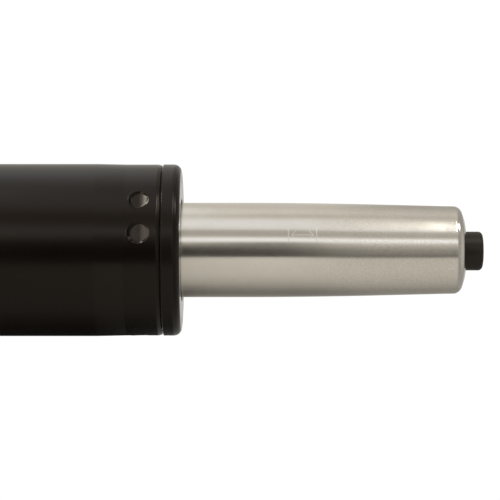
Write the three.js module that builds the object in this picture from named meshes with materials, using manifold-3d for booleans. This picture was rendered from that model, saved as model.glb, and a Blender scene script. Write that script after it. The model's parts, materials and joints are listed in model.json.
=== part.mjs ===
// Height-adjustable gas lift: a painted column with a plastic guide sleeve, and a gas spring with a
// tapered seat end and a release button. Millimetres, +Z up along the axis towards the seat.
// The origin is the centre of the column's bottom rim.
import * as THREE from 'three';
import { mergeVertices } from 'three/addons/utils/BufferGeometryUtils.js';
import Module from 'manifold-3d';

const wasm = await Module();
wasm.setup();

// ---- Driving dimensions ----
const gap = 0.3;                    // between pieces that touch in the real lift
const coneSlope = 1 / 40;           // radius lost per length on both cones: 1:20 on diameter

const columnLength = 200;
const columnDiameter = 51;          // 2 inch tube with its paint
const columnWall = 2;
const mouthNarrowing = 0.5;         // the tube is drawn in slightly over the sleeve
const mouthDraw = 45;               // and this is the length it takes
const baseConeLength = 70;
const footLip = 2;                  // thickness of the lip rolled in at the foot
const footLipWidth = 3;

const flangeProud = 0.1;            // beyond the tube's mouth, all round
const flangeThickness = 5.35;
const flangeRound = 2.15;
const flangeSeam = 0.35;            // open line between the tube's end and the flange
const sleeveDepth = 90;             // below the flange
const sleeveHead = 14;              // full-width ring under the flange
const sleeveHeel = 8;               // full-width ring at the sleeve's lower end
const sleeveWeb = 3;                // wall between the two rings
const sleeveRibs = 8;
const ribWidth = 2.5;
const boreChamfer = 1.1;
const greaseGrooves = 12;
const grooveDepth = 0.9;
const grooveWidth = 1.5;

const stakeRadius = 3;              // round punch marks that lock the sleeve in the tube
const stakeDepth = 1.1;
const stakeDrop = 6.05;             // from the tube's end to the marks' centres
const stakeTilt = THREE.MathUtils.degToRad(9);
const stakeAngles = [0, 1, 2].flatMap((pair) => [-101.5 - 120 * pair, -125.1 - 120 * pair])
  .map(THREE.MathUtils.degToRad);

const cupHeight = 9.7;
const cupFloor = 2.6;
const cupWall = 2.2;
const washerThickness = 1.2;        // the clip has this thickness too
const clipWidth = 3;
const ballRadius = 2.5;
const ballCount = 8;
const ballCircle = 11;              // radius through the balls' centres
const cageThickness = 2.4;
const raceThickness = 2.2;
const raceGroove = 0.6;
const raceGrooveHalf = 1.6;
const bumperHeight = 20;
const bumperRadius = 11.5;

const stroke = 100;
const liftBelow = 25;               // part of the stroke that is below the modelled height
const endClearance = 2;             // left at each end of the stroke

const springDiameter = 28;
const springWall = 1.5;
const coneLength = 26;              // straight part of the seat cone, shoulder included
const coneBlend = 40;               // long arc from the cylinder into the cone
const shoulderRadius = 4;
const endWall = 2.6;                // rolled-in end round the button
const footWall = 2;                 // rolled-in end round the rod
const sealWasher = 2;
const rodSealHeight = 7;
const rodGuideHeight = 12.2;
const guideSpigot = 5;              // part of the rod guide inside the pressure tube
const gasPassage = 1.5;             // between the pressure tube and the spring's wall
const pressureWall = 1.5;
const gasRoom = 18.5;               // left between the piston and the valve at the lowest height

const rodDiameter = 10;
const rodTipDiameter = 8;
const clipGroove = 1;               // depth of the clip's groove in the rod's tip
const rodStep = 2;                  // radius lost on the stub that carries the piston
const pistonHeight = 12;
const pistonRingDepth = 1.6;
const nutHeight = 4;
const nutRadius = 6;                // to its corners

const valveLength = 36;
const valveSpigot = 8;              // part of the valve body inside the pressure tube
const sealGroove = 2.1;             // depth of the O-ring grooves
const stemRadius = 2.4;
const stemChamberRadius = 5.2;
const stemChamberDepth = 22;
const valveRing = 3.4;
const pinHead = 6;                  // length of the pin below the valve body

const buttonDiameter = 11.5;
const buttonProud = 5.5;            // above the steel end face
const buttonTravel = 3.5;
const buttonFlange = 2.2;
const buttonLip = 1.6;              // width of the flange that keeps the button in
const buttonEdge = 1.4;
const pinSocket = 3;                // depth of the button's hole for the pin

// ---- Sizes that follow from them ----
const columnRadius = columnDiameter / 2;
const mouthRadius = columnRadius - mouthNarrowing / 2;
const footRadius = columnRadius - baseConeLength * coneSlope;
const springRadius = springDiameter / 2;
const springBore = springRadius - springWall;
const rodRadius = rodDiameter / 2;
const rodTipRadius = rodTipDiameter / 2;
const stubRadius = rodRadius - rodStep;
const buttonRadius = buttonDiameter / 2;
const flangeTop = columnLength + flangeSeam + flangeThickness;

// Upwards from the foot: cup, bearing, bumper.
const cupTop = footLip + gap + cupHeight;
const washerTop = cupTop - cupFloor - gap;
const clipBottom = washerTop - 2 * washerThickness - gap;
const lowerRaceTop = cupTop + gap + raceThickness;
const ballHeight = lowerRaceTop - raceGroove + gap + ballRadius;
const upperRaceTop = ballHeight + ballRadius + gap - raceGroove + raceThickness;
const raceRadius = ballCircle + ballRadius + 1.5;
const bumperWasherTop = upperRaceTop + gap + washerThickness;
const bumperTop = bumperWasherTop + gap + bumperHeight;

// Upwards through the gas spring: seal pack, piston, valve, end.
const springBottom = bumperTop + endClearance + liftBelow;
const footWallTop = springBottom + footWall;
const sealWasherTop = footWallTop + gap + sealWasher;
const rodSealTop = sealWasherTop + gap + rodSealHeight;
const rodGuideTop = rodSealTop + gap + rodGuideHeight;
const rodGuideStep = rodGuideTop - guideSpigot;
const tubeOuter = springBore - gasPassage;
const tubeInner = tubeOuter - pressureWall;
const pistonBottom = rodGuideTop + stroke - liftBelow + endClearance;
const pistonTop = pistonBottom + pistonHeight;
const nutTop = pistonTop + gap + nutHeight;
const rodTop = nutTop + 1;
const pinBottom = rodTop + liftBelow + buttonTravel + endClearance + gasRoom;
const valveBottom = pinBottom + pinHead;
const valveStep = valveBottom + valveSpigot;
const valveGasHole = valveStep + 3.2;
const valveTop = valveBottom + valveLength;
const stemChamber = valveTop - stemChamberDepth;
const valveRingTop = valveTop + gap + valveRing;
const buttonBottom = Math.max(valveRingTop + 1.2, valveTop + buttonTravel + gap);
const springTop = buttonBottom + buttonFlange + gap + endWall;
const coneTop = springTop - shoulderRadius;
const coneBottom = springTop - coneLength;
const blendBottom = coneBottom - coneBlend;

// Outer radius of the gas spring at a height: cylinder, long arc, then the straight cone.
function springRadiusAt(height) {
  if (height <= blendBottom) return springRadius;
  if (height <= coneBottom) {
    return springRadius - coneSlope * (height - blendBottom) ** 2 / (2 * coneBlend);
  }
  return springRadius - coneSlope * (coneBlend / 2 + height - coneBottom);
}
const valveRadius = springRadiusAt(valveTop) - springWall - gap;

// ---- Finishes ----
const finish = (color, roughness, metalness) => ({ color, roughness, metalness });
const paint = finish(0x1b1a19, 0.4, 0.1);
const groundSteel = finish(0xb9b5ad, 0.3, 1);
const bearingSteel = finish(0xc4c4c2, 0.18, 1);
const platedSteel = finish(0xa8a79d, 0.4, 1);
const springSteel = finish(0x55504c, 0.45, 0.9);
const castAluminium = finish(0x9fa2a5, 0.5, 1);
const brass = finish(0xb3924f, 0.35, 1);
const blackPlastic = finish(0x201f1e, 0.45, 0);
const palePlastic = finish(0xd9d5c8, 0.5, 0);
const rubber = finish(0x151515, 0.85, 0);

// ---- Shape helpers ----
const group = new THREE.Group();
group.name = 'gas_lift';

function add(name, geometry, look) {
  const mesh = new THREE.Mesh(geometry, new THREE.MeshStandardMaterial(look));
  mesh.name = name;
  group.add(mesh);
}

// Turns a [radius, height] outline about Z. The outline runs up the outside.
function turned(outline, segments = 24) {
  const points = outline.map(([radius, height]) => new THREE.Vector2(radius, height));
  return new THREE.LatheGeometry(points, segments).rotateX(Math.PI / 2);
}

// A ring with chamfered outer edges.
function ring(inner, outer, bottom, top, chamfer = 0.25, segments = 24) {
  return turned([
    [inner, bottom], [outer - chamfer, bottom], [outer, bottom + chamfer],
    [outer, top - chamfer], [outer - chamfer, top], [inner, top], [inner, bottom],
  ], segments);
}

// An O-ring that fills a groove between two radii.
function sealRing(inner, outer, height) {
  const thickness = (outer - inner) / 2;
  return new THREE.TorusGeometry(inner + thickness, thickness, 6, 32).translate(0, 0, height);
}

// Points along a circular arc in an outline, from one angle to another, in degrees.
function arc(radius, height, size, from, to, steps) {
  return Array.from({ length: steps + 1 }, (_, step) => {
    const angle = THREE.MathUtils.degToRad(from + (to - from) * step / steps);
    return [radius + size * Math.cos(angle), height + size * Math.sin(angle)];
  });
}

function toSolid(geometry) {
  const bare = geometry.clone();
  bare.deleteAttribute('normal');
  bare.deleteAttribute('uv');
  const merged = mergeVertices(bare, 1e-4);
  return new wasm.Manifold(new wasm.Mesh({
    numProp: 3,
    vertProperties: Float32Array.from(merged.attributes.position.array),
    triVerts: Uint32Array.from(merged.index.array),
  }));
}

function toGeometry(solid) {
  const { vertProperties, triVerts } = solid.getMesh();
  const geometry = new THREE.BufferGeometry();
  geometry.setAttribute('position', new THREE.BufferAttribute(vertProperties, 3));
  geometry.setIndex(new THREE.BufferAttribute(triVerts, 1));
  geometry.computeVertexNormals();
  return geometry;
}

// A cylinder lying along a spoke from the axis, between two radii.
function spoke(radius, from, to, height, angle, segments = 16) {
  return toSolid(new THREE.CylinderGeometry(radius, radius, to - from, segments)
    .rotateZ(-Math.PI / 2).translate((from + to) / 2, 0, height).rotateZ(angle));
}

// A block along a spoke, as long as the radii differ.
function spokeBlock(from, to, width, bottom, top, angle) {
  return toSolid(new THREE.BoxGeometry(to - from, width, top - bottom)
    .translate((from + to) / 2, 0, (bottom + top) / 2).rotateZ(angle));
}

const evenly = (count, start = 0) => Array.from({ length: count },
  (_, index) => start + 2 * Math.PI * index / count);

// ---- Column ----
function columnTube() {
  const mouthInner = mouthRadius - columnWall;
  const inner = columnRadius - columnWall;
  const footInner = footRadius - columnWall;
  const drawStart = columnLength - mouthDraw;
  const edge = 0.5;
  const shell = toSolid(turned([
    [footRadius - edge, 0], [footRadius, edge], [columnRadius, baseConeLength],
    [columnRadius, drawStart],
    ...arc(mouthRadius - edge, columnLength - edge, edge, 0, 90, 3),
    [mouthInner, columnLength], [inner, drawStart], [inner, baseConeLength],
    [footInner, footLip], [footInner - footLipWidth, footLip], [footInner - footLipWidth, 0],
    [footRadius - edge, 0],
  ], 72));
  const height = columnLength - stakeDrop;
  const marks = stakeAngles.map((angle) => stakePunch(height, angle));
  const bumps = stakeAngles.map((angle) => spoke(stakeRadius - 0.4,
    mouthInner - stakeDepth + 0.2, mouthRadius - columnWall / 2, height, angle));
  return toGeometry(wasm.Manifold.difference(
    [wasm.Manifold.union([shell, ...bumps]), ...marks]));
}

// The punch leans so that its mark is deepest on the side away from the tube's end.
function stakePunch(height, angle) {
  const length = 4;
  return toSolid(new THREE.CylinderGeometry(stakeRadius + 0.2, stakeRadius - 0.2, length, 24)
    .rotateZ(-Math.PI / 2).translate(length / 2, 0, 0).rotateY(-stakeTilt)
    .translate(mouthRadius - stakeDepth + stakeRadius * Math.sin(stakeTilt), 0, height)
    .rotateZ(angle));
}

// ---- Guide sleeve ----
function guideSleeve() {
  const bore = springRadius + gap;
  const outer = mouthRadius - columnWall - gap;
  const flange = mouthRadius + flangeProud;
  const flangeBottom = columnLength + flangeSeam;
  const bottom = flangeBottom - sleeveDepth;
  const headBottom = flangeBottom - sleeveHead;
  const heelTop = bottom + sleeveHeel;
  const web = bore + sleeveWeb;
  const body = toSolid(turned([
    [bore, bottom], [outer - 1, bottom], [outer, bottom + 1], [outer, heelTop], [web, heelTop],
    [web, headBottom], [outer, headBottom], [outer, flangeBottom], [flange, flangeBottom],
    ...arc(flange - flangeRound, flangeTop - flangeRound, flangeRound, 0, 90, 5),
    [bore + boreChamfer, flangeTop], [bore, flangeTop - boreChamfer], [bore, bottom],
  ], 60));
  const ribs = evenly(sleeveRibs).map((angle) => spokeBlock(web - 1, outer - 0.4, ribWidth,
    heelTop - 1, headBottom + 1, angle));
  const grooves = evenly(greaseGrooves, Math.PI / greaseGrooves).map((angle) => spokeBlock(
    bore - 1, bore + grooveDepth, grooveWidth, bottom - 1, flangeTop + 1, angle));
  const pockets = stakeAngles.map((angle) => spoke(stakeRadius + 0.2,
    outer - stakeDepth - 0.5, outer + 2, columnLength - stakeDrop, angle, 20));
  const pinMarks = evenly(4).map((angle) => toSolid(new THREE.CylinderGeometry(0.8, 0.8, 1, 12)
    .rotateX(Math.PI / 2).translate(flange - 4.5, 0, flangeTop).rotateZ(angle)));
  return toGeometry(wasm.Manifold.difference(
    [wasm.Manifold.union([body, ...ribs]), ...grooves, ...pockets, ...pinMarks]));
}

// ---- Foot of the column: cup, bearing, clip and bumper ----
function bottomCup() {
  const bottom = footLip + gap;
  const outer = footRadius - columnWall - gap;
  return turned([
    [outer - cupWall, bottom], [outer, bottom], [outer, cupTop - 1], [outer - 1, cupTop],
    [rodTipRadius + gap, cupTop], [rodTipRadius + gap, cupTop - cupFloor],
    [outer - cupWall, cupTop - cupFloor], [outer - cupWall, bottom],
  ], 32);
}

// A bearing washer with a ball groove in one face; side is 1 for a groove on top, -1 below.
function race(plainFace, side) {
  const inner = rodTipRadius + gap;
  const grooveFace = plainFace + side * raceThickness;
  const groove = [1, 0.56, 0, -0.56, -1].map((across) => [
    ballCircle + across * raceGrooveHalf,
    grooveFace - side * raceGroove * Math.sqrt(1 - across ** 2)]);
  const outline = [
    [inner, plainFace], [raceRadius, plainFace], [raceRadius, grooveFace],
    ...groove, [inner, grooveFace], [inner, plainFace],
  ];
  return turned(side > 0 ? outline : outline.reverse(), 30);
}

function ballCage() {
  const pocket = ballRadius + gap;
  const body = toSolid(ring(ballCircle - pocket - 1, ballCircle + pocket + 1,
    ballHeight - cageThickness / 2, ballHeight + cageThickness / 2, 0.25, 32));
  const pockets = evenly(ballCount).map((angle) => toSolid(
    new THREE.CylinderGeometry(pocket, pocket, cageThickness + 2, 16).rotateX(Math.PI / 2)
      .translate(ballCircle, 0, ballHeight).rotateZ(angle)));
  return toGeometry(wasm.Manifold.difference([body, ...pockets]));
}

// A horseshoe clip whose open side slides onto the rod's groove.
function retainingClip() {
  const [from, to] = [-0.3 * Math.PI, 1.3 * Math.PI];
  const shape = new THREE.Shape();
  shape.absarc(0, 0, rodTipRadius + clipWidth, from, to, false);
  const inner = new THREE.Path();
  inner.absarc(0, 0, rodTipRadius - clipGroove + gap, to, from, true);
  for (const point of inner.getPoints(20)) shape.lineTo(point.x, point.y);
  shape.closePath();
  return new THREE.ExtrudeGeometry(shape, { depth: washerThickness, bevelEnabled: false,
    curveSegments: 20 }).translate(0, 0, clipBottom);
}

// A rubber buffer with two waists, so that it folds evenly.
function bumper() {
  const bottom = bumperWasherTop + gap;
  const inner = rodRadius + gap;
  const waist = bumperRadius - 1.9;
  const waists = [0.3, 0.7].map((share) => bottom + share * bumperHeight);
  return turned([
    [inner, bottom], [bumperRadius - 0.5, bottom], [bumperRadius, bottom + 0.5],
    ...waists.flatMap((height) => [[bumperRadius, height - 2.6], [waist, height - 0.8],
      [waist, height + 0.8], [bumperRadius, height + 2.6]]),
    [bumperRadius, bumperTop - 1.5], [bumperRadius - 1.5, bumperTop], [inner, bumperTop],
    [inner, bottom],
  ]);
}

// ---- Rod and piston ----
function pistonRod() {
  const grooveBottom = clipBottom - gap;
  const grooveTop = clipBottom + washerThickness + gap;
  const groove = rodTipRadius - clipGroove;
  const shoulder = upperRaceTop + gap;
  return turned([
    [0, grooveBottom - 1.5], [rodTipRadius - 0.5, grooveBottom - 1.5],
    [rodTipRadius, grooveBottom - 1], [rodTipRadius, grooveBottom], [groove, grooveBottom],
    [groove, grooveTop], [rodTipRadius, grooveTop], [rodTipRadius, shoulder],
    [rodRadius, shoulder], [rodRadius, pistonBottom - gap], [stubRadius, pistonBottom - gap],
    [stubRadius, rodTop - 0.5], [stubRadius - 0.5, rodTop], [0, rodTop],
  ]);
}

// The piston's two grooves, one for the seal and one for the guide ring.
const pistonGrooves = [
  { name: 'piston_seal', bottom: pistonBottom + 2, top: pistonBottom + 4.8, look: rubber },
  { name: 'piston_ring', bottom: pistonTop - 5, top: pistonTop - 1.8, look: palePlastic },
];

function piston() {
  const inner = stubRadius + gap;
  const outer = tubeInner - 2 * gap;
  const depth = outer - pistonRingDepth;
  return turned([
    [inner, pistonBottom], [outer - 0.5, pistonBottom], [outer, pistonBottom + 0.5],
    ...pistonGrooves.flatMap(({ bottom, top }) => [[outer, bottom], [depth, bottom],
      [depth, top], [outer, top]]),
    [outer, pistonTop - 0.5], [outer - 0.5, pistonTop], [inner, pistonTop],
    [inner, pistonBottom],
  ], 28);
}

function pistonNut() {
  const corners = evenly(6).map((angle) => new THREE.Vector2(
    nutRadius * Math.cos(angle), nutRadius * Math.sin(angle)));
  const shape = new THREE.Shape(corners);
  shape.holes.push(new THREE.Path().absarc(0, 0, stubRadius + gap, 0, 2 * Math.PI, true));
  return new THREE.ExtrudeGeometry(shape, { depth: nutHeight, bevelEnabled: false,
    curveSegments: 24 }).translate(0, 0, pistonTop + gap);
}

// ---- Gas spring ----
function gasCylinder() {
  const rim = springRadiusAt(coneTop) - shoulderRadius;
  const holeRadius = buttonRadius + 0.35;
  const innerTop = springTop - endWall;
  const innerRim = Math.max(rim, buttonRadius + buttonLip + gap);
  const heights = (steps) => Array.from({ length: steps + 1 },
    (_, step) => blendBottom + (coneBottom - blendBottom) * step / steps);
  const outside = [...heights(6), coneTop - 0.01].map((height) => [springRadiusAt(height), height]);
  const inside = [...heights(3), valveRingTop + 1]
    .map((height) => [springRadiusAt(height) - springWall, height]).reverse();
  const edge = 1.2;
  return turned([
    [springRadius - edge, springBottom], [springRadius, springBottom + edge],
    ...outside,
    ...arc(rim, coneTop, shoulderRadius, 9, 90, 6),
    [holeRadius + 0.4, springTop], [holeRadius, springTop - 0.4], [holeRadius, innerTop],
    [innerRim, innerTop], ...inside,
    [springBore, footWallTop], [rodRadius + 3, footWallTop], [rodRadius + 3, springBottom],
    [springRadius - edge, springBottom],
  ], 64);
}

function pressureTube() {
  const bottom = rodGuideStep + gap;
  const wall = toSolid(ring(tubeInner, tubeOuter, bottom, valveStep - gap, 0.3, 32));
  const ports = evenly(4).map((angle) => spoke(1.5, tubeInner - 1, tubeOuter + 1,
    rodGuideTop + 4, angle, 12));
  return toGeometry(wasm.Manifold.difference([wall, ...ports]));
}

function rodGuide() {
  const inner = rodRadius + gap;
  const bottom = rodSealTop + gap;
  const spigot = tubeInner - gap;
  return turned([
    [inner, bottom], [springBore - gap, bottom], [springBore - gap, rodGuideStep],
    [spigot, rodGuideStep], [spigot, rodGuideTop - 1], [spigot - 1, rodGuideTop],
    [inner, rodGuideTop], [inner, bottom],
  ], 28);
}

// A rubber seal with a lip towards the gas.
function rodSeal() {
  const inner = rodRadius + gap;
  const outer = springBore - gap;
  const bottom = sealWasherTop + gap;
  return turned([
    [inner, bottom], [outer, bottom], [outer, rodSealTop], [outer - 2, rodSealTop],
    [outer - 3, rodSealTop - 3], [inner + 2, rodSealTop - 3], [inner + 0.8, rodSealTop],
    [inner, rodSealTop - 0.5], [inner, bottom],
  ], 28);
}

// ---- Valve ----
const bodySealHeight = valveStep + 9;
const spigotSealHeight = valveBottom + valveSpigot / 2;

function valveBody() {
  const spigot = tubeInner - gap;
  const seat = stemRadius + 1.6;
  const throat = stemRadius + 0.5;
  const neck = valveRadius - 1;
  const groove = (height, outer) => [[outer, height - 1.2], [outer - sealGroove, height - 1.2],
    [outer - sealGroove, height + 1.2], [outer, height + 1.2]];
  const body = toSolid(turned([
    [seat, valveBottom], [spigot - 0.5, valveBottom], [spigot, valveBottom + 0.5],
    ...groove(spigotSealHeight, spigot), [spigot, valveStep], [neck, valveStep],
    [neck, valveGasHole + 2.4], [valveRadius, valveGasHole + 3.4],
    ...groove(bodySealHeight, valveRadius),
    [valveRadius, valveTop - 0.6], [valveRadius - 0.6, valveTop],
    [stemChamberRadius, valveTop], [stemChamberRadius, stemChamber], [throat, stemChamber],
    [throat, valveBottom + 1.7], [seat, valveBottom],
  ], 28));
  const gasHole = spoke(1, 0, valveRadius + 1, valveGasHole, 0, 12);
  return toGeometry(wasm.Manifold.difference([body, gasHole]));
}
// The pin's cone closes the valve from below; pressing the button moves it down, off its seat.
function valvePin() {
  const head = stemRadius + 1.8;
  const coneStart = valveBottom - 1.1;
  const neckTop = valveGasHole + 1.4;
  const pinTop = buttonBottom + pinSocket - gap;
  return turned([
    [0, pinBottom], [head - 0.5, pinBottom], [head, pinBottom + 0.5],
    [head, coneStart], [stemRadius, coneStart + 2.2], [stemRadius, coneStart + 3.4],
    [stemRadius - 0.9, coneStart + 4.2], [stemRadius - 0.9, neckTop - 0.8],
    [stemRadius, neckTop], [stemRadius, pinTop], [0, pinTop],
  ], 20);
}

function releaseButton() {
  const top = springTop + buttonProud;
  const socket = stemRadius + gap;
  const flange = buttonRadius + buttonLip;
  const flangeTopHeight = buttonBottom + buttonFlange;
  return turned([
    [socket, buttonBottom], [flange, buttonBottom], [flange, flangeTopHeight],
    [buttonRadius, flangeTopHeight],
    ...arc(buttonRadius - buttonEdge, top - buttonEdge, buttonEdge, 0, 90, 4), [0, top],
    [0, buttonBottom + pinSocket], [socket, buttonBottom + pinSocket], [socket, buttonBottom],
  ], 32);
}

// ---- Assembly ----
add('column_tube', columnTube(), paint);
add('guide_sleeve', guideSleeve(), blackPlastic);

add('bottom_cup', bottomCup(), platedSteel);
add('clip_washer', ring(rodTipRadius + gap, rodTipRadius + 5, washerTop - washerThickness,
  washerTop), platedSteel);
add('retaining_clip', retainingClip(), springSteel);
add('lower_race', race(cupTop + gap, 1), bearingSteel);
add('ball_cage', ballCage(), brass);
evenly(ballCount).forEach((angle, index) => add(`bearing_ball_${index + 1}`,
  new THREE.SphereGeometry(ballRadius, 12, 8)
    .translate(ballCircle * Math.cos(angle), ballCircle * Math.sin(angle), ballHeight),
  bearingSteel));
add('upper_race', race(upperRaceTop, -1), bearingSteel);
add('bumper_washer', ring(rodRadius + gap, bumperRadius + 0.5, upperRaceTop + gap,
  bumperWasherTop), platedSteel);
add('bumper', bumper(), rubber);

add('piston_rod', pistonRod(), bearingSteel);
add('piston', piston(), castAluminium);
for (const { name, bottom, top, look } of pistonGrooves) {
  add(name, ring(tubeInner - gap - pistonRingDepth, tubeInner - gap, bottom + gap, top - gap,
    0.2, 28), look);
}
add('piston_nut', pistonNut(), platedSteel);

add('gas_cylinder', gasCylinder(), groundSteel);
add('seal_washer', ring(rodRadius + gap, springBore - gap, footWallTop + gap, sealWasherTop),
  platedSteel);
add('rod_seal', rodSeal(), rubber);
add('rod_guide', rodGuide(), palePlastic);
add('pressure_tube', pressureTube(), platedSteel);
add('valve_body', valveBody(), castAluminium);
add('valve_body_seal', sealRing(valveRadius - sealGroove + gap, valveRadius + gap / 2,
  bodySealHeight), rubber);
add('pressure_tube_seal', sealRing(tubeInner - sealGroove, tubeInner - gap / 2,
  spigotSealHeight), rubber);

const stemPack = [
  { name: 'stem_seal_lower', height: 2.4, look: rubber },
  { name: 'stem_spacer', height: 6, look: palePlastic },
  { name: 'stem_seal_upper', height: 2.4, look: rubber },
  { name: 'stem_bush', height: 9.4, look: brass },
];
let packHeight = stemChamber + gap;
for (const { name, height, look } of stemPack) {
  add(name, ring(stemRadius + gap, stemChamberRadius - gap, packHeight, packHeight + height,
    0.2, 24), look);
  packHeight += height + gap;
}
add('valve_ring', ring(buttonRadius + 2.4, springRadiusAt(valveRingTop) - springWall - gap,
  valveTop + gap, valveRingTop), platedSteel);
add('valve_pin', valvePin(), bearingSteel);
add('release_button', releaseButton(), blackPlastic);

export default group;
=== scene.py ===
"""Looks for the height-adjustable gas lift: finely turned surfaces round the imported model, procedural
finishes, soft studio light and the camera. Metres, +Z up from the column's foot to the button; the
outlines and what is worked out from them are in millimetres."""
import json
import math

import bpy
import numpy as np
from mathutils import Matrix, Vector


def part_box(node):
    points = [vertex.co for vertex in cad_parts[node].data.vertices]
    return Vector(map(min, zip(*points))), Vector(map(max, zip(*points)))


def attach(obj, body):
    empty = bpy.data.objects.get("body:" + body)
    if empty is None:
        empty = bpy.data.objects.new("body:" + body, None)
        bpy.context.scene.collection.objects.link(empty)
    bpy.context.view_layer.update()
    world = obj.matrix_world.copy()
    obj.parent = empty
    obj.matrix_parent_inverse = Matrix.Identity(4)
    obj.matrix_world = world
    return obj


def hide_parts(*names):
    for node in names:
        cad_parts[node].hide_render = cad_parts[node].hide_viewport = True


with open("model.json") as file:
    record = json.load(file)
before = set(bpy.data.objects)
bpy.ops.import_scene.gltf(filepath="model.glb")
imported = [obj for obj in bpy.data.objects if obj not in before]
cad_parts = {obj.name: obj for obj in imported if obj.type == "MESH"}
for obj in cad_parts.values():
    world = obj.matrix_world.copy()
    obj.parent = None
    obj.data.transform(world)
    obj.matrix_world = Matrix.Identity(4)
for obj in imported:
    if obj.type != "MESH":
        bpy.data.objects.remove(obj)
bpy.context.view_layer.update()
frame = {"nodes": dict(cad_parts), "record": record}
MM = 0.001
LARGE_FILLET = 1.5


# ---------------------------------------------------------------- surfaces
def unit(vector):
    return vector / np.linalg.norm(vector)


def fillet(corners, steps):
    """An outline through corners (radius, height, fillet), in millimetres, with every corner rounded.

    At each corner the fillet touches both sides at size / tan(half the corner's angle), or at 0.45 of
    the shorter side where that is less, and follows the circle between them, in `steps` chords, or
    three times as many on a large fillet. A support point follows each end, so that shading on the
    flats stays flat. A fillet of 0 leaves the corner sharp.
    """
    outline = []
    count = len(corners)
    for index, (radius, height, size) in enumerate(corners):
        here = np.array([radius, height], float)
        if size == 0:
            outline.append(here)
            continue
        before = np.array(corners[index - 1][:2], float) - here
        after = np.array(corners[(index + 1) % count][:2], float) - here
        room = min(np.linalg.norm(before), np.linalg.norm(after))
        before, after = unit(before), unit(after)
        half = math.acos(float(np.clip(before @ after, -1, 1))) / 2
        reach = min(size / math.tan(half), 0.45 * room)
        centre = here + unit(before + after) * reach / math.cos(half)
        first, last = here + before * reach - centre, here + after * reach - centre
        swing = math.atan2(first[0] * last[1] - first[1] * last[0], first @ last)
        support = min(0.25 * reach, 0.02 * room)
        chords = steps if size < LARGE_FILLET else 3 * steps
        outline.append(here + before * (reach + support))
        for turn in np.linspace(0, swing, chords + 1):
            cosine, sine = math.cos(turn), math.sin(turn)
            outline.append(centre + np.array([first[0] * cosine - first[1] * sine,
                                              first[0] * sine + first[1] * cosine]))
        outline.append(here + after * (reach + support))
    return np.array(outline)


def even_rows(outline, longest):
    """The outline with each straight longer than `longest`, one length or one for each straight, cut
    into equal steps."""
    rows = [outline[:1]]
    limits = np.broadcast_to(longest, len(outline) - 1)
    for start, end, limit in zip(outline[:-1], outline[1:], limits):
        steps = max(1, math.ceil(np.linalg.norm(end - start) / limit))
        rows.append(start + (end - start) * (np.arange(1, steps + 1) / steps)[:, None])
    return np.vstack(rows)


def closed(outline):
    """The outline with its first point repeated at its end."""
    return np.vstack([outline, outline[:1]])


def even_angles(count):
    return np.linspace(0, 2 * np.pi, count, endpoint=False)


def crowded_angles(count, centres, reach, crowd):
    """Angles round the axis, `crowd` times closer within reach of the centres: equal shares of the
    running total of that density."""
    angle = np.linspace(0, 2 * np.pi, 20001)
    near = np.abs(np.angle(np.exp(1j * (angle[:, None] - centres)))).min(axis=1)
    density = 1 + (crowd - 1) * (1 - smooth_step(reach, 1.4 * reach, near))
    total = np.cumsum(density) - density[0]
    return np.interp(np.arange(count) / count * total[-1], total, angle)


def from_nearest(angle, count, offset=0.0):
    """Angle from the nearest of `count` places spaced evenly round the axis from `offset`."""
    step = 2 * np.pi / count
    return (angle - offset + step / 2) % step - step / 2


def smooth_step(low, high, value):
    """0 below low, 1 above high, and 3t^2 - 2t^3 between."""
    share = np.clip((value - low) / (high - low), 0, 1)
    return share * share * (3 - 2 * share)


def soft_least(first, second, blend):
    """The lower of two surfaces; where they differ by less than `blend` the crease is a parabola."""
    share = np.clip(0.5 + 0.5 * (second - first) / blend, 0, 1)
    return second + (first - second) * share - blend * share * (1 - share)


def around(outline, angles, shape=None):
    """The outline swept round Z: x = r cos(angle), y = r sin(angle), z = height.

    shape(radius, height, angle) may return changed radii and heights on the whole grid.
    """
    radius = np.repeat(outline[:, :1], len(angles), axis=1)
    height = np.repeat(outline[:, 1:], len(angles), axis=1)
    angle = np.broadcast_to(angles, radius.shape)
    if shape is not None:
        radius, height = shape(radius, height, angle)
    return np.stack([radius * np.cos(angle), radius * np.sin(angle), height], -1)


def grid_mesh(name, points, ring_rows, body, material, nodes):
    """A closed mesh from points[row, column] in millimetres; columns go once round the axis.

    With ring_rows the last row joins the first; otherwise the first and last rows lie on the axis and
    each becomes one pole. Faces look outwards when the rows run up the outside.
    """
    wall = points if ring_rows else points[1:-1]
    vertices = wall.reshape(-1, 3)
    number = np.arange(len(vertices)).reshape(wall.shape[:2])
    if ring_rows:
        lower, upper = number, np.roll(number, -1, axis=0)
        caps = []
    else:
        lower, upper = number[:-1], number[1:]
        first, last = number[0], number[-1]
        bottom, top = np.full_like(first, number.size), np.full_like(last, number.size + 1)
        vertices = np.vstack([vertices, points[0, :1], points[-1, :1]])
        caps = np.vstack([np.stack([bottom, np.roll(first, -1), first], 1),
                          np.stack([top, last, np.roll(last, -1)], 1)]).tolist()
    quads = np.stack([lower, np.roll(lower, -1, axis=1), np.roll(upper, -1, axis=1), upper],
                     -1).reshape(-1, 4)
    mesh = bpy.data.meshes.new(name)
    mesh.from_pydata((vertices * MM).tolist(), [], quads.tolist() + caps)
    mesh.polygons.foreach_set("use_smooth", np.ones(len(mesh.polygons), bool))
    mesh.update()
    piece = bpy.data.objects.new(name, mesh)
    bpy.context.scene.collection.objects.link(piece)
    mesh.materials.append(material)
    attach(piece, body)
    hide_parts(*nodes)
    return piece


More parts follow.
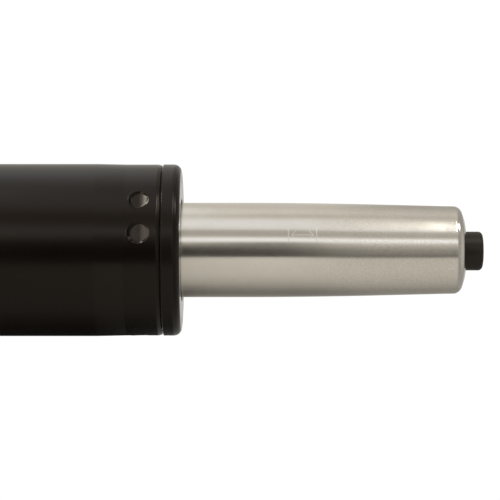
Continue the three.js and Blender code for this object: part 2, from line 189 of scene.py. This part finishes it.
# ---------------------------------------------------------------- shader expressions
class Number:
    """A number or colour that varies over a surface or a light. Arithmetic on it adds Math nodes."""

    def __init__(self, nodes, socket):
        self.nodes, self.socket = nodes, socket

    def maths(self, operation, *others, clamp=False):
        return self.nodes.node("ShaderNodeMath", {"operation": operation, "use_clamp": clamp},
                               dict(enumerate((self, *others))))

    def __add__(self, other):
        return self.maths("ADD", other)

    def __sub__(self, other):
        return self.maths("SUBTRACT", other)

    def __rsub__(self, other):
        return self.nodes.node("ShaderNodeMath", {"operation": "SUBTRACT"}, {0: other, 1: self})

    def __mul__(self, other):
        return self.maths("MULTIPLY", other)

    __radd__ = __add__
    __rmul__ = __mul__

    def clamp(self):
        return self.maths("ADD", 0, clamp=True)

    def sine(self):
        return self.maths("SINE")

    def absolute(self):
        return self.maths("ABSOLUTE")

    def ramp(self, low, high):
        """0 at low, 1 at high, smooth between."""
        return self.nodes.node("ShaderNodeMapRange", {"interpolation_type": "SMOOTHSTEP"},
                               {0: self, 1: low, 2: high, 3: 0.0, 4: 1.0})


class Nodes:
    """A node tree, and the nodes that expressions on its values add."""

    def __init__(self, tree):
        self.tree = tree

    def set(self, node, sockets):
        for key, value in sockets.items():
            if isinstance(value, Number):
                self.tree.links.new(value.socket, node.inputs[key])
            else:
                node.inputs[key].default_value = value

    def node(self, kind, settings, sockets, out=0):
        """Adds a node: its settings first, then the values or links of its sockets."""
        node = self.tree.nodes.new(kind)
        for key, value in settings.items():
            setattr(node, key, value)
        self.set(node, sockets)
        return Number(self, node.outputs[out])

    def axes(self, vector):
        return (self.node("ShaderNodeSeparateXYZ", {}, {0: vector}, axis) for axis in "XYZ")

    def mix(self, share, first, second):
        """Colour that goes from the first to the second as share goes from 0 to 1."""
        first, second = ((*c, 1) if isinstance(c, tuple) else c for c in (first, second))
        return self.node("ShaderNodeMix", {"data_type": "RGBA"}, {0: share, 6: first, 7: second}, 2)


class Finish(Nodes):
    """A material with one Principled shader."""

    def __init__(self, name, color, roughness, metallic=0.0, **uniform):
        self.material = bpy.data.materials.new(name)
        self.material.use_nodes = True
        super().__init__(self.material.node_tree)
        self.shader = self.tree.nodes["Principled BSDF"]
        self.set(self.shader, {"Base Color": (*color, 1), "Roughness": roughness,
                               "Metallic": metallic, **uniform})
        self.place = self.node("ShaderNodeTexCoord", {}, {}, "Object")
        self.x, self.y, self.z = self.axes(self.place)

    def noise(self, scale, detail, stretch=(1, 1, 1), seed=0.0):
        """Noise from 0 to 1, with features about 1 / scale metres across before the stretch."""
        place = self.node("ShaderNodeMapping", {}, {0: self.place, 1: (seed, seed, seed),
                                                    3: stretch})
        return self.node("ShaderNodeTexNoise", {}, {"Vector": place, "Scale": scale,
                                                    "Detail": detail, "Roughness": 0.55}, "Fac")

    def around_axis(self):
        """Angle round the Z axis, from -pi to pi."""
        return self.y.maths("ARCTAN2", self.x)

    def distance_to_axis(self):
        return (self.x * self.x + self.y * self.y).maths("SQRT")

    def finish(self, color, roughness, height, depth, strength=1.0):
        """Joins what varies to the shader; height is in shares of depth, in metres."""
        self.set(self.shader, {"Base Color": color, "Roughness": roughness.clamp()})
        bump = self.node("ShaderNodeBump", {}, {"Strength": strength, "Distance": depth,
                                                "Height": height})
        self.set(self.shader, {"Normal": bump})
        return self.material


def shade(color, factor):
    return tuple(channel * factor for channel in color)


# ---------------------------------------------------------------- finishes
def black_enamel():
    """Satin stoved enamel: fine orange peel, faint cloudy gloss, dust, and scuffs along the foot where
    it is fitted in its hub."""
    base = (0.0042, 0.0027, 0.0019)
    fit_start, fit_end = 0.045, 0.075
    paint = Finish("black_enamel", base, 0.17, **{
        "IOR": 1.5, "Specular IOR Level": 0.24, "Specular Tint": (1.0, 0.88, 0.76, 1)})
    peel = paint.noise(900, 2)
    cloud = paint.noise(60, 4, seed=3.1)
    dust = paint.noise(2600, 2, seed=7.7).ramp(0.66, 0.78)
    scuff = paint.noise(160, 5, (1, 1, 0.08), seed=1.3).ramp(0.6, 0.75)
    fitted = 1 - paint.z.ramp(fit_start, fit_end)
    rub = (scuff * fitted).clamp()
    color = paint.mix(cloud, shade(base, 0.86), shade(base, 1.16))
    color = paint.mix(dust * 0.12, color, (0.07, 0.062, 0.05))
    color = paint.mix(rub * 0.3, color, (0.05, 0.046, 0.04))
    gloss = 0.14 + 0.06 * cloud + 0.05 * dust + 0.08 * rub
    return paint.finish(color, gloss, peel * 0.8 + dust * 0.25, depth=0.00003, strength=0.3)


def moulded_plastic(name, base, roughness, face=None):
    """Black moulded plastic: spark-eroded grain and faint flow marks; smoother above the height of its
    face, in metres, where it has one."""
    plastic = Finish(name, base, roughness, **{
        "IOR": 1.49, "Specular IOR Level": 0.23, "Specular Tint": (1.0, 0.9, 0.8, 1)})
    grain = plastic.noise(5200, 2)
    flow = plastic.noise(140, 4, (1, 1, 0.35), seed=4.2)
    dust = plastic.noise(3000, 2, seed=2.2).ramp(0.68, 0.8)
    color = plastic.mix(flow, shade(base, 0.85), shade(base, 1.2))
    color = plastic.mix(dust * 0.3, color, (0.09, 0.08, 0.068))
    gloss = roughness - 0.05 + 0.08 * flow + 0.06 * grain
    if face is not None:
        gloss = gloss * (1 - 0.45 * plastic.z.ramp(face - 0.0002, face - 0.00005))
    return plastic.finish(color, gloss, grain, depth=0.00003, strength=0.3)


def ground_steel(flange_height):
    """Ground steel: bright fine-ground cylinder, sandier satin on the cone, lines round the axis."""
    base = (0.675, 0.64, 0.58)
    satin_start, satin_end = 0.030, 0.055
    steel = Finish("ground_steel", base, 0.15, metallic=1.0)
    rise = steel.z - flange_height
    satin = rise.ramp(satin_start, satin_end)
    lines = steel.noise(26000, 3, (0.012, 0.012, 1), seed=5.5)
    coarse = steel.noise(9000, 3, (0.03, 0.03, 1), seed=9.1)
    blotch = steel.noise(170, 5, seed=2.9)
    speck = steel.noise(1900, 3, seed=6.6)
    color = steel.mix(blotch, shade(base, 0.94), shade(base, 1.05))
    color = steel.mix(speck.ramp(0.5, 0.72) * (0.10 + 0.10 * satin), color, shade(base, 0.6))
    color = steel.mix((1 - speck).ramp(0.52, 0.72) * 0.3 * satin, color, shade(base, 1.25))
    gloss = (0.10 + 0.02 * satin + 0.05 * blotch + (lines - 0.5) * 0.05
             + (speck - 0.5) * 0.08)
    etched = etched_marks(steel, rise)
    color = steel.mix(etched * 0.35, color, shade(base, 1.1))
    gloss = gloss + etched * 0.15
    height = lines + coarse * satin * 0.5 + speck * 0.3 - etched * 0.8
    return steel.finish(color, gloss, height, depth=0.000004, strength=0.4)


def etched_marks(steel, rise):
    """Etched on the steel, from 0 to 1: a two-headed arrow along the axis between two bars, which
    stands for the lift, and beside it a faint ruled scale. Lengths are halves, from the middle."""
    line, blur = 0.00011, 0.00010
    arrow_turn, arrow_rise, scale_turn, scale_rise = -108.5, 0.0355, -52, 0.0335
    shaft, head_start, head_tip, bar_place, bar = 0.0030, 0.0018, 0.0032, 0.0041, 0.0022
    rule_gap, rule_line, rule, rules = 0.0006, 0.00006, 0.0026, 0.0052

    def stroke(distance, half_width=line):
        return 1 - distance.absolute().ramp(half_width, half_width + blur)

    def beside(turn):
        """Length round the steel from the line at that many degrees."""
        return (steel.around_axis() - math.radians(turn)) * spring_radius * MM

    across, along = beside(arrow_turn), rise - arrow_rise
    beyond = along.absolute()
    arrow = stroke(across) * stroke(along, shaft)
    heads = stroke(across.absolute() + beyond - head_tip) * (beyond - head_start).ramp(0, blur)
    bars = stroke(beyond - bar_place) * stroke(across, bar)
    arrow = arrow.maths("MAXIMUM", heads).maths("MAXIMUM", bars)
    across, along = beside(scale_turn), rise - scale_rise
    ruled = stroke(along.maths("PINGPONG", rule_gap), rule_line) * stroke(along, rules)
    scale = ruled * stroke(across, rule)
    return arrow.maths("MAXIMUM", scale * 0.6)


def zinc_plate():
    """Dull zinc plating with faint cloudy spangle."""
    base = (0.52, 0.52, 0.48)
    zinc = Finish("zinc_plate", base, 0.4, metallic=1.0)
    cloud = zinc.noise(260, 4)
    grain = zinc.noise(4200, 2, seed=1.9)
    color = zinc.mix(cloud, shade(base, 0.8), (0.6, 0.58, 0.5))
    return zinc.finish(color, 0.3 + 0.2 * cloud + 0.08 * grain, grain, depth=0.00001)


def hard_steel():
    """Hardened steel, ground round the axis and polished."""
    base = (0.62, 0.62, 0.61)
    steel = Finish("hard_steel", base, 0.14, metallic=1.0)
    lines = steel.noise(15000, 2, (0.02, 0.02, 1))
    cloud = steel.noise(240, 4, seed=3.7)
    color = steel.mix(cloud, shade(base, 0.94), shade(base, 1.05))
    return steel.finish(color, 0.1 + 0.08 * cloud + 0.05 * lines, lines, depth=0.000003)


def spring_steel():
    """Oil-blackened spring steel with browner rubbed spots."""
    base = (0.1, 0.09, 0.08)
    steel = Finish("spring_steel", base, 0.42, metallic=0.9)
    cloud = steel.noise(420, 4)
    worn = steel.noise(1300, 4, seed=2.4).ramp(0.55, 0.75)
    color = steel.mix(worn * 0.6, steel.mix(cloud, base, shade(base, 1.5)), (0.3, 0.26, 0.21))
    return steel.finish(color, 0.38 + 0.15 * cloud, cloud, depth=0.00001)


def turned_aluminium():
    """Turned aluminium: even tool lines round the axis, up the sides and across the faces."""
    base = (0.62, 0.63, 0.64)
    pitch, face_waves = 0.00022, 28000
    metal = Finish("turned_aluminium", base, 0.3, metallic=1.0)
    feed = (metal.z * (2 * math.pi / pitch) + metal.distance_to_axis() * face_waves).sine()
    cloud = metal.noise(300, 4)
    color = metal.mix(cloud, shade(base, 0.9), shade(base, 1.05))
    return metal.finish(color, 0.24 + 0.1 * cloud + 0.04 * feed, feed, depth=0.000004)


def drawn_brass():
    """Brass with a light brown tarnish."""
    base = (0.62, 0.43, 0.19)
    brass = Finish("drawn_brass", base, 0.28, metallic=1.0)
    cloud = brass.noise(320, 5)
    lines = brass.noise(9000, 2, (0.05, 0.05, 1), seed=1.1)
    color = brass.mix(cloud.ramp(0.4, 0.75) * 0.6, base, (0.32, 0.2, 0.09))
    return brass.finish(color, 0.22 + 0.2 * cloud, lines, depth=0.000005)


def black_rubber():
    """Nitrile rubber: dull, slightly grey bloom, fine pits."""
    base = (0.018, 0.018, 0.018)
    rubber = Finish("black_rubber", base, 0.75)
    bloom = rubber.noise(260, 4)
    pits = rubber.noise(3600, 3, seed=4.4)
    color = rubber.mix(bloom.ramp(0.45, 0.8), base, (0.045, 0.044, 0.042))
    return rubber.finish(color, 0.66 + 0.2 * bloom, pits, depth=0.00003)


def pale_acetal():
    """Natural acetal: waxy off-white with faint flow marks."""
    base = (0.72, 0.69, 0.6)
    acetal = Finish("pale_acetal", base, 0.42, **{"Subsurface Weight": 0.1,
                                                  "Subsurface Scale": 0.002})
    flow = acetal.noise(180, 4, (1, 1, 0.4))
    grain = acetal.noise(5000, 2, seed=8.3)
    color = acetal.mix(flow, shade(base, 0.93), shade(base, 1.04))
    return acetal.finish(color, 0.36 + 0.12 * flow, grain, depth=0.00001)


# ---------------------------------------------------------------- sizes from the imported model
def extent(node):
    """A node's radius, foot and top."""
    low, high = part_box(node)
    return high.x / MM, low.z / MM, high.z / MM


column_radius, _, column_top = extent("column_tube")
flange_radius, sleeve_bottom, flange_top = extent("guide_sleeve")
spring_radius, spring_bottom, spring_top = extent("gas_cylinder")
_, button_bottom, button_top = extent("release_button")

mouth_radius = column_radius - 0.18
WALL = 2.0
SLOPE = 1 / 40  # radius lost along both of the 1:20 cones
STAKE_DROP = 6.05
# Punch marks in three pairs round the mouth: the direction and the radius of each.
STAKES = [(np.radians(side - 120 * pair), size) for pair in range(3)
          for side, size in ((-101.5, 3.2), (-125.1, 2.95))]


def stake_dents(radius, height, angle):
    """Depth of the punch marks that hold the sleeve.

    The floor of each is flat across and gets shallower along the axis, then a steeper ramp runs out
    towards the mouth, both less across^2 / 2R for the tube's roundness. A wall of even slope bounds it
    at the punch's outline, across^p + along^p = size^p, which is round on the foot's side, where p is
    2, and slightly pointed towards the mouth, where p falls to 1.75. The edge is rounded, more so
    towards the mouth, and a low lip stands outside on the foot's side.
    """
    floor_depth, floor_slope, ramp_slope, wall_slope = 0.60, 0.138, 0.23, 1.2
    round_power, point, point_start = 2, 0.25, 1.5
    floor_blend, wall_blend, edge_blend, mouth_blend = 0.1, 0.25, 0.1, 0.08
    lip_height, lip_gap, lip_width, lip_end = 0.055, 0.12, 0.2, 2.5
    depth = np.zeros_like(radius)
    for centre, size in STAKES:
        along = height - (column_top - STAKE_DROP)
        across = radius * np.angle(np.exp(1j * (angle - centre)))
        power = round_power - point * smooth_step(0, point_start, along)
        from_middle = (abs(across) ** power + abs(along) ** power) ** (1 / power)
        floor_line = soft_least(floor_depth - floor_slope * along, ramp_slope * (size - along),
                                floor_blend)
        dent = soft_least(floor_line - across ** 2 / (2 * mouth_radius),
                          wall_slope * (size - from_middle), wall_blend)
        run_out = edge_blend + mouth_blend * smooth_step(0, size, along)
        dent = -soft_least(-dent, np.zeros_like(dent), run_out)
        beyond = np.hypot(across, along) - size - lip_gap
        lip = lip_height * np.exp(-(beyond / lip_width) ** 2)
        depth += dent - lip * smooth_step(lip_end, -lip_end, along)
    return depth


def column_shell():
    """A drawn tube: r grows by 1/40 of the height up the base cone, stays level, and is drawn in by
    0.18 mm at the mouth; outside, it falls by the depth of the punch marks."""
    cone_top, neck_start, neck_end, step_in = 70, 19, 10.4, 28
    mark_reach, mark_rows, rim_width, rim_height = 3.9, 61, 3, 2
    inner, mouth_inner = column_radius - WALL, mouth_radius - WALL
    foot = column_radius - cone_top * SLOPE
    foot_inner = foot - WALL
    marks = column_top - STAKE_DROP + np.linspace(-mark_reach, mark_reach, mark_rows)
    outline = fillet([
        (foot, 0, 0.5), (column_radius, cone_top, 4), (column_radius, column_top - neck_start, 12),
        (mouth_radius, column_top - neck_end, 6), *((mouth_radius, mark, 0) for mark in marks),
        (mouth_radius, column_top - 1.0, 1.3), (mouth_radius - 0.26, column_top, 0.25),
        (mouth_inner, column_top, 0.3), (inner, column_top - step_in, 0), (inner, cone_top, 0),
        (foot_inner, rim_height, 0.4), (foot_inner - rim_width, rim_height, 0.3),
        (foot_inner - rim_width, 0, 0.4)], 6)
    rows = even_rows(closed(outline), 25)[:-1]

    def dented(radius, height, angle):
        outside = smooth_step(mouth_inner + 0.4, mouth_inner + 1.6, radius)
        return radius - outside * stake_dents(radius, height, angle), height

    angles = crowded_angles(480, np.array([centre for centre, _ in STAKES]), 0.17, 5)
    return grid_mesh("column_shell", around(rows, angles, dented), True, "column",
                     black_enamel(), ["column_tube"])


def sleeve():
    """The guide sleeve: a heel and a head that fill the tube, a thinner web between them, and a flange
    over the mouth. Ribs, grooves and pin marks change r or the height by a smooth step of the distance
    from the middle of each."""
    play, face_rows, other_rows = 0.3, 0.5, 3.0
    bore, outer = spring_radius + play, mouth_radius - WALL - play
    neck, head, heel, web = column_top + 0.35, column_top - 13.65, sleeve_bottom + 8, bore + 3
    rib_count, groove_count, groove_depth = 8, 12, 0.9
    mark_count, mark_inset, mark_depth = 4, 4.5, 0.35
    outline = closed(fillet([
        (bore, sleeve_bottom, 0.3), (outer, sleeve_bottom, 1), (outer, heel, 0.4), (web, heel, 0.8),
        (web, head, 0.8), (outer, head, 0.4), (outer, neck, 0.15), (flange_radius, neck, 0.25),
        (flange_radius, flange_top, 2.3), (bore + 1.1, flange_top, 0.12),
        (bore, flange_top - 1.1, 0.3)], 7))
    on_face = outline[:-1, 1] > flange_top - 0.01
    rows = even_rows(outline, np.where(on_face, face_rows, other_rows))[:-1]

    def moulded(radius, height, angle):
        """Ribs stand on the web; grease grooves are cut in the bore; pin marks in the end face."""
        rib_distance = abs(from_nearest(angle, rib_count)) * (web + outer) / 2
        rib = 1 - smooth_step(1.05, 1.45, rib_distance)
        between = (height > heel + 0.3) & (height < head - 0.3)
        on_web = between & (radius < outer - 0.6) & (radius > web - 0.2)
        radius = np.where(on_web, radius + (outer - 0.4 - web) * rib, radius)
        groove_distance = abs(from_nearest(angle, groove_count, np.pi / groove_count)) * bore
        groove = groove_depth * (1 - smooth_step(0.55, 0.8, groove_distance))
        radius = radius + groove * (1 - smooth_step(bore + 0.1, bore + 0.9, radius))
        mark_distance = np.hypot(radius * from_nearest(angle, mark_count),
                                 radius - (flange_radius - mark_inset))
        mark = mark_depth * (1 - smooth_step(0.6, 0.85, mark_distance))
        return radius, height - np.where(height > flange_top - 0.05, mark, 0)

    return grid_mesh("sleeve", around(rows, even_angles(440), moulded), True, "column",
                     moulded_plastic("sleeve_plastic", (0.0056, 0.0039, 0.0029), 0.2, flange_top * MM),
                     ["guide_sleeve"])


def spring_body():
    """The spring's outer cylinder: r is level up to the blend, then falls as a parabola until its
    slope is 1/40, then goes on as the cone. The end is domed: from r = 8.8 it falls 1.4 mm to the
    rim, where it is rolled in round the button."""
    cone_length, blend, wall, base = 26, 40.0, 1.5, 2
    rod_clearance, hole, dome, dome_drop, lip, cap = 8, 6.1, 8.8, 1.4, 2.6, 6
    cone_bottom = spring_top - cone_length
    start = cone_bottom - blend

    def radius_at(height):
        up = np.clip(height - start, 0, blend)
        return (spring_radius - SLOPE * up ** 2 / (2 * blend)
                - SLOPE * np.clip(height - cone_bottom, 0, None))

    rim = float(radius_at(spring_top - 4))
    climb = np.linspace(start, spring_top - cap, 40)
    outside = radius_at(climb)
    inside = outside - wall
    lower = fillet([
        (spring_radius - wall, spring_bottom + base, 0.3), (rod_clearance, spring_bottom + base, 0.3),
        (rod_clearance, spring_bottom, 0.4), (spring_radius, spring_bottom, 1.4),
        (spring_radius, start, 0)], 7)
    upper = fillet([
        (float(outside[-1]), climb[-1], 0), (rim - 0.02, spring_top - dome_drop, 2.6),
        (dome, spring_top, 5), (hole, spring_top, 0.4), (hole, spring_top - lip, 0.3),
        (rim - 2, spring_top - lip, 0.5), (float(inside[-1]), climb[-1], 0)], 8)
    outline = np.vstack([lower[:-1], np.stack([outside, climb], 1)[:-1], upper[:-1],
                         np.stack([inside, climb], 1)[::-1]])
    rows = even_rows(closed(outline), 12)[:-1]
    return grid_mesh("spring_body", around(rows, even_angles(400)), True, "spring",
                     ground_steel(flange_top * MM), ["gas_cylinder"])


def button():
    """A cap with a barely domed top: the top falls by 0.12 mm from the middle to its edge. The cap
    sits to one side in the play of its hole, by 0.3 mm, and the flange under it stays in the middle."""
    radius, flange, flange_height, pin, pin_depth = 5.75, 1.6, 2.2, 2.7, 3
    lean = 0.3
    shoulder = button_bottom + flange_height
    outline = fillet([
        (0, button_bottom + pin_depth, 0), (pin, button_bottom + pin_depth, 0),
        (pin, button_bottom, 0.2), (radius + flange, button_bottom, 0.3),
        (radius + flange, shoulder, 0.3), (radius, shoulder, 0.2),
        (radius, button_top - 0.12, 1.35), (3.0, button_top - 0.03, 0), (0, button_top, 0)], 8)
    points = around(even_rows(outline, 0.8), even_angles(192))
    points[..., 0] += lean * smooth_step(0, 1, points[..., 2] - shoulder)
    return grid_mesh("button", points, False, "button",
                     moulded_plastic("button_plastic", (0.020, 0.0165, 0.0125), 0.34),
                     ["release_button"])


column_shell()
sleeve()
spring_body()
button()

# ---------------------------------------------------------------- finishes on the inner pieces
inner_finishes = {
    "plated_steel": zinc_plate(), "hard_steel": hard_steel(), "rubber": black_rubber(),
    "pale_plastic": pale_acetal(), "turned_aluminium": turned_aluminium(), "brass": drawn_brass(),
    "spring_steel": spring_steel(),
}
for subpart in frame["record"]["subparts"]:
    material = inner_finishes.get(subpart["material_slot"])
    if material is not None:
        node = frame["nodes"][subpart["node"]]
        node.data.materials.clear()
        node.data.materials.append(material)

# ---------------------------------------------------------------- studio
# Brightness of the room by angle round the object, in degrees from the front towards its left:
# what lies below the object's middle, level with it, and a little above.
ROOM_LOW = [(-180, 0.02), (-150, 0.01), (-135, 0.01), (-120, 0.02), (-108, 0.07), (-98, 0.15),
            (-88, 0.30), (-75, 0.43), (-50, 0.50), (-30, 0.52), (-22, 0.42), (-15, 0.16), (-8, 0.03),
            (0, 0.02), (6, 0.09), (11, 0.30), (17, 0.80), (22, 1.15), (28, 1.10), (33, 0.75),
            (40, 0.48), (47, 0.50), (55, 0.80), (64, 1.10), (80, 1.0), (95, 1.0), (110, 1.15),
            (122, 1.10), (136, 0.75), (155, 0.55), (170, 0.60), (180, 0.80)]
ROOM_LEVEL = [(-180, 0.78), (-165, 0.40), (-148, 0.24), (-125, 0.22), (-110, 0.30), (-85, 0.50),
              (-62, 0.66), (-23, 0.78), (-18, 0.70), (-15.5, 0.11), (-9, 0.075), (0, 0.11),
              (8, 0.20), (17.5, 0.31), (20.5, 0.95), (25, 1.3), (29, 1.1), (33, 0.56), (39, 0.48),
              (48, 0.55), (53, 0.95), (64, 1.04), (76, 1.0), (86, 0.72), (93, 0.65), (101, 0.80),
              (110, 0.82), (125, 0.72), (165, 0.68), (180, 0.78)]
ROOM_ALOFT = [(-180, 0.75), (-165, 0.34), (-148, 0.31), (-125, 0.33), (-98, 0.49), (-77, 0.58),
              (-52, 0.65), (-25, 0.64), (-21, 0.54), (-18, 0.16), (-9, 0.32), (0, 0.39),
              (9, 0.60), (15, 0.76), (18.5, 1.2), (26, 1.35), (28, 0.8), (32, 0.52), (38, 0.53),
              (46, 0.60), (50, 0.98), (60, 0.84), (74, 0.78), (82, 0.75), (90, 0.62), (107, 0.72),
              (118, 0.63), (140, 0.48), (165, 0.45), (180, 0.75)]
BENCH = (0.5, 0.49, 0.46)
UPPER_WALL = (0.42, 0.41, 0.39)
CEILING = (0.58, 0.57, 0.54)
BACKDROP = (1.02, 1.02, 1.02)


def room():
    """Light from all round: the bench, then the three lists, then upper wall and ceiling. What shows
    behind the object is a plain white backdrop."""
    world = bpy.data.worlds.new("studio")
    bpy.context.scene.world = world
    world.use_nodes = True
    studio = Nodes(world.node_tree)
    x, y, rise = studio.axes(studio.node("ShaderNodeTexCoord", {}, {}, "Generated"))
    turn = (x * -1).maths("ARCTAN2", y * -1)
    share = studio.node("ShaderNodeMapRange", {}, {0: turn, 1: -math.pi, 2: math.pi})

    def band(levels):
        """Light that follows one list; where it is dim it is warm, and at a window nearly white."""
        made = studio.node("ShaderNodeValToRGB", {}, {0: share})
        stops = made.socket.node.color_ramp.elements
        stops.remove(stops[1])
        for angle, _ in levels[1:]:
            stops.new((angle + 180) / 360)
        for stop, (_, level) in zip(stops, levels):
            window = float(smooth_step(0.75, 1.05, level))
            stop.color = (level * (1.04 - 0.05 * window), level, level * (0.92 + 0.11 * window), 1)
        return made

    def blend(low, high, below, above):
        """Goes from one light to the next as the direction rises from sine low to sine high."""
        return studio.mix(rise.ramp(low, high), below, above)

    light = blend(-0.042, -0.029, band(ROOM_LOW), band(ROOM_LEVEL))
    light = blend(0.042, 0.082, light, band(ROOM_ALOFT))
    light = blend(0.3, 0.5, light, UPPER_WALL)
    light = blend(0.8, 0.97, light, CEILING)
    light = blend(-0.5, -0.3, BENCH, light)
    seen = studio.node("ShaderNodeLightPath", {}, {}, "Is Camera Ray")
    studio.set(world.node_tree.nodes["Background"], {"Color": studio.mix(seen, light, BACKDROP)})


def floor():
    """A pale disc with a soft grain, under the foot. Gives the lamps' receivers: the floor alone, and
    all but the floor."""
    radius, sides = 0.9, 128
    pale = Finish("pale_floor", (0.90, 0.895, 0.885), 0.6)
    cloud = pale.noise(9, 3)
    pale.finish(pale.mix(cloud, (0.88, 0.875, 0.865), (0.92, 0.915, 0.905)), 0.55 + 0.1 * cloud,
                pale.noise(900, 2), depth=0.00002)
    angle = even_angles(sides)
    ring = np.stack([np.cos(angle), np.sin(angle), 0 * angle], 1)
    mesh = bpy.data.meshes.new("floor")
    mesh.from_pydata((ring * radius).tolist(), [], [list(range(sides))])
    mesh.materials.append(pale.material)
    ground = bpy.data.objects.new("floor", mesh)
    bpy.context.scene.collection.objects.link(ground)
    alone = bpy.data.collections.new("floor_alone")
    all_but = bpy.data.collections.new("all_but_the_floor")
    for receivers in (alone, all_but):
        receivers.objects.link(ground)
    all_but.collection_objects[0].light_linking.link_state = "EXCLUDE"
    return alone, all_but


def area_light(name, turn, climb, distance, size, radiance, receivers):
    """A lamp, wide by high, aimed at the column's mouth, not seen itself, that lights only receivers.

    turn and climb are its directions from there, in degrees: round from the front towards the left,
    and up. Its power is pi * area * radiance.
    """
    light = bpy.data.lights.new(name, "AREA")
    light.shape, light.color = "ELLIPSE", (1, 0.98, 0.94)
    light.size, light.size_y = size
    light.energy = math.pi * (math.pi / 4 * size[0] * size[1]) * radiance
    lamp = bpy.data.objects.new(name, light)
    bpy.context.scene.collection.objects.link(lamp)
    turn, climb = math.radians(turn), math.radians(climb)
    way = Vector((-math.sin(turn) * math.cos(climb), -math.cos(turn) * math.cos(climb),
                  math.sin(climb)))
    lamp.location = Vector((0, 0, column_top * MM)) + way * distance
    lamp.rotation_euler = (-way).to_track_quat("-Z", "Y").to_euler()
    lamp.visible_camera = False
    lamp.light_linking.receiver_collection = receivers


def camera():
    """Looks nearly straight across the axis, which lies level in the view with the foot to the left."""
    distance, tilt, aim = 0.640, math.radians(0.1), (flange_top + 20.2) * MM
    data = bpy.data.cameras.new("camera")
    data.sensor_width, data.lens = 36, 155.4
    view = bpy.data.objects.new("camera", data)
    bpy.context.scene.collection.objects.link(view)
    forward = Vector((0, math.cos(tilt), -math.sin(tilt)))
    right = Vector((0, math.sin(tilt), math.cos(tilt)))
    view.location = Vector((0, 0, aim)) - forward * distance
    view.rotation_euler = Matrix((right, right.cross(forward), -forward)).transposed().to_euler()
    bpy.context.scene.camera = view


room()
floor_alone, all_but_floor = floor()
area_light("high_lamp", 74, 42, 1.0, (0.26, 0.26), 6, all_but_floor)
area_light("window_strip", 65, 17, 1.0, (0.50, 0.08), 11, all_but_floor)
area_light("low_lamp", 79, -27, 0.36, (0.10, 0.10), 20, all_but_floor)
area_light("low_fill", 28, -27, 0.36, (0.16, 0.10), 4, all_but_floor)
area_light("floor_lamp", 0, 89, 1.8, (1.0, 1.0), 4, floor_alone)
camera()
bpy.context.scene.view_settings.view_transform = "Standard"
